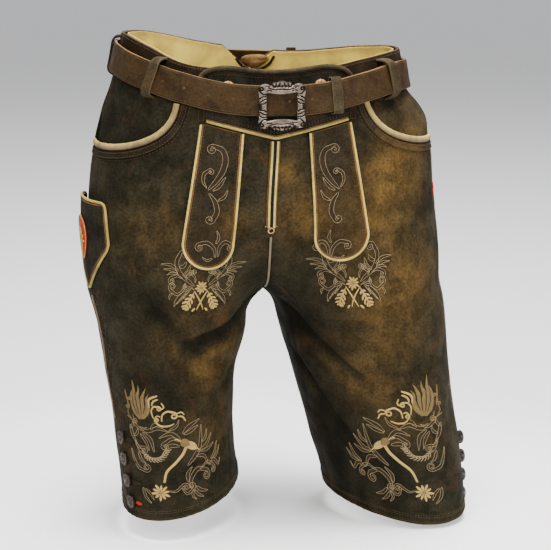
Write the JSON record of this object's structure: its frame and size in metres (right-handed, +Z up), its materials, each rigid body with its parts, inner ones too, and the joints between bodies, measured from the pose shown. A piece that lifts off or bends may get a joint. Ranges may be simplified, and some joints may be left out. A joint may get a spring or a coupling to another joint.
{
  "type": "leather breeches",
  "caption": "Knee-length suede breeches with a drop-front bib, hanging tabs, slanting pockets, a knife sheath, belt loops and a belt with a waved metal buckle.",
  "frame": {"origin": "centre of the waist ring at the height of the belt's middle line, mount wearer_waist", "axes": "+Z up along the wearer's body, -Y towards the front, +X towards the wearer's left"},
  "size_m": [0.4455, 0.2818, 0.5629],
  "materials": {
    "olive_suede": "mottled antiqued suede, dark olive with rusty patches",
    "dark_suede": "dark greenish suede",
    "brown_leather": "worn brown leather, darker at the edges",
    "cream_leather": "cream leather piping",
    "cream_lining": "plain woven cotton",
    "tan_leather": "smooth tan leather",
    "horn": "polished horn",
    "pewter": "antiqued pewter, dark in the hollows",
    "brass": "worn brass",
    "patch_cloth": "embroidered cloth"
  },
  "bodies": {
    "root": {"back_panel_left": "olive_suede", "back_panel_right": "olive_suede", "belt": "brown_leather", "belt_keeper": "dark_suede", "belt_loop_1": "dark_suede", "belt_loop_2": "dark_suede", "belt_loop_3": "dark_suede", "belt_loop_4": "dark_suede", "belt_loop_5": "dark_suede", "belt_loop_6": "dark_suede", "bib": "dark_suede", "bib_button_left": "horn", "bib_button_right": "horn", "bib_corner_left": "brown_leather", "bib_corner_right": "brown_leather", "bib_piping": "cream_leather", "bib_welt": "brown_leather", "buckle": "pewter", "fly_piping_left": "cream_leather", "fly_piping_right": "cream_leather", "fly_ring": "brass", "fork_piping": "cream_leather", "front_panel_left": "olive_suede", "front_panel_right": "olive_suede", "gusset": "tan_leather", "gusset_thong": "dark_suede", "hip_facing_left": "dark_suede", "hip_facing_right": "dark_suede", "leg_button_left_1": "pewter", "leg_button_left_2": "pewter", "leg_button_left_3": "pewter", "leg_button_left_4": "pewter", "leg_button_right_1": "pewter", "leg_button_right_2": "pewter", "leg_button_right_3": "pewter", "leg_button_right_4": "pewter", "pocket_band_left": "brown_leather", "pocket_band_right": "brown_leather", "pocket_roll_left": "cream_leather", "pocket_roll_right": "cream_leather", "sheath": "dark_suede", "sheath_patch": "patch_cloth", "sheath_piping": "cream_leather", "side_piping_left": "cream_leather", "side_piping_right": "cream_leather", "tab_left": "dark_suede", "tab_piping_left": "cream_leather", "tab_piping_right": "cream_leather", "tab_right": "dark_suede", "waist_lining_left": "cream_lining", "waist_lining_right": "cream_lining", "waistband_back_left": "brown_leather", "waistband_back_right": "brown_leather", "waistband_front_left": "brown_leather", "waistband_front_right": "brown_leather"}
  },
  "joints": []
}
